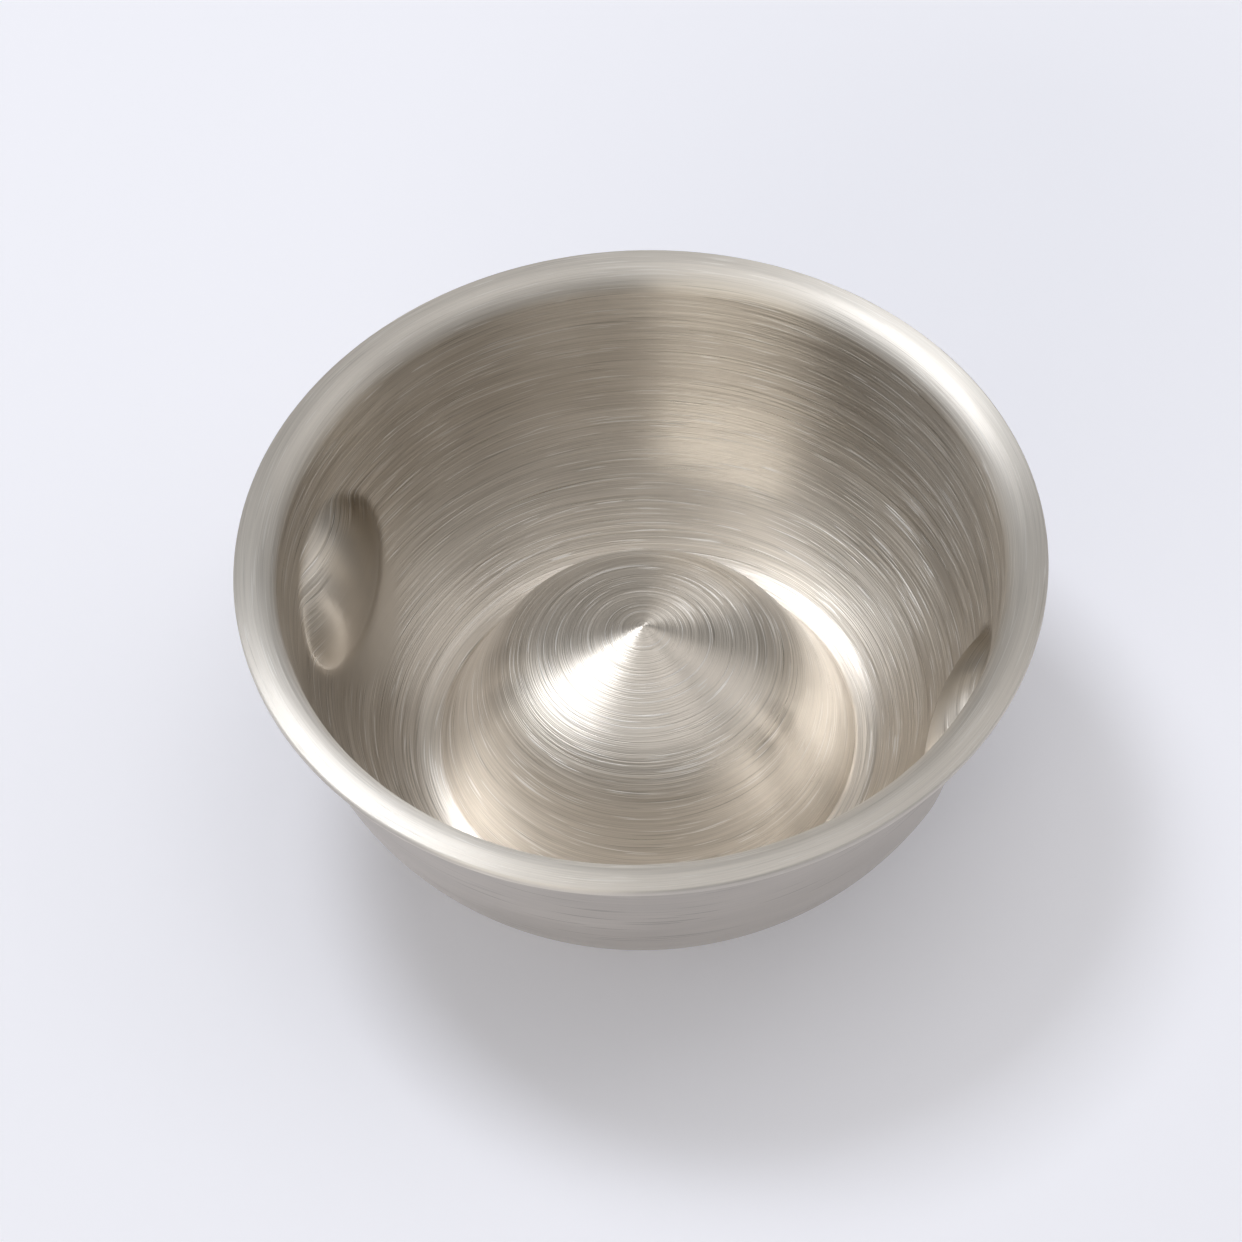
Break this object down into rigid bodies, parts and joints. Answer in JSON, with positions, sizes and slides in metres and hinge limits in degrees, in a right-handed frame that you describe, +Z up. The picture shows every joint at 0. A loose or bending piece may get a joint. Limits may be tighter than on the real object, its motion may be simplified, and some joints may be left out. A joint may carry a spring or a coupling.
{
  "type": "shaving bowl",
  "caption": "Low round lather bowl pressed from steel sheet, with a flared lip, a blunt cone rising from the floor and finger dimples in the side.",
  "frame": {"origin": "centre of the foot ring, on the plane the bowl stands on", "axes": "+Z up along the axis the bowl is turned about, +X through the centre of one finger dimple"},
  "size_m": [0.1, 0.1, 0.0388],
  "materials": {
    "steel_sheet": "brushed in rings inside and on the lip, fine satin outside"
  },
  "bodies": {
    "root": {"bowl_shell": "steel_sheet"}
  },
  "joints": []
}
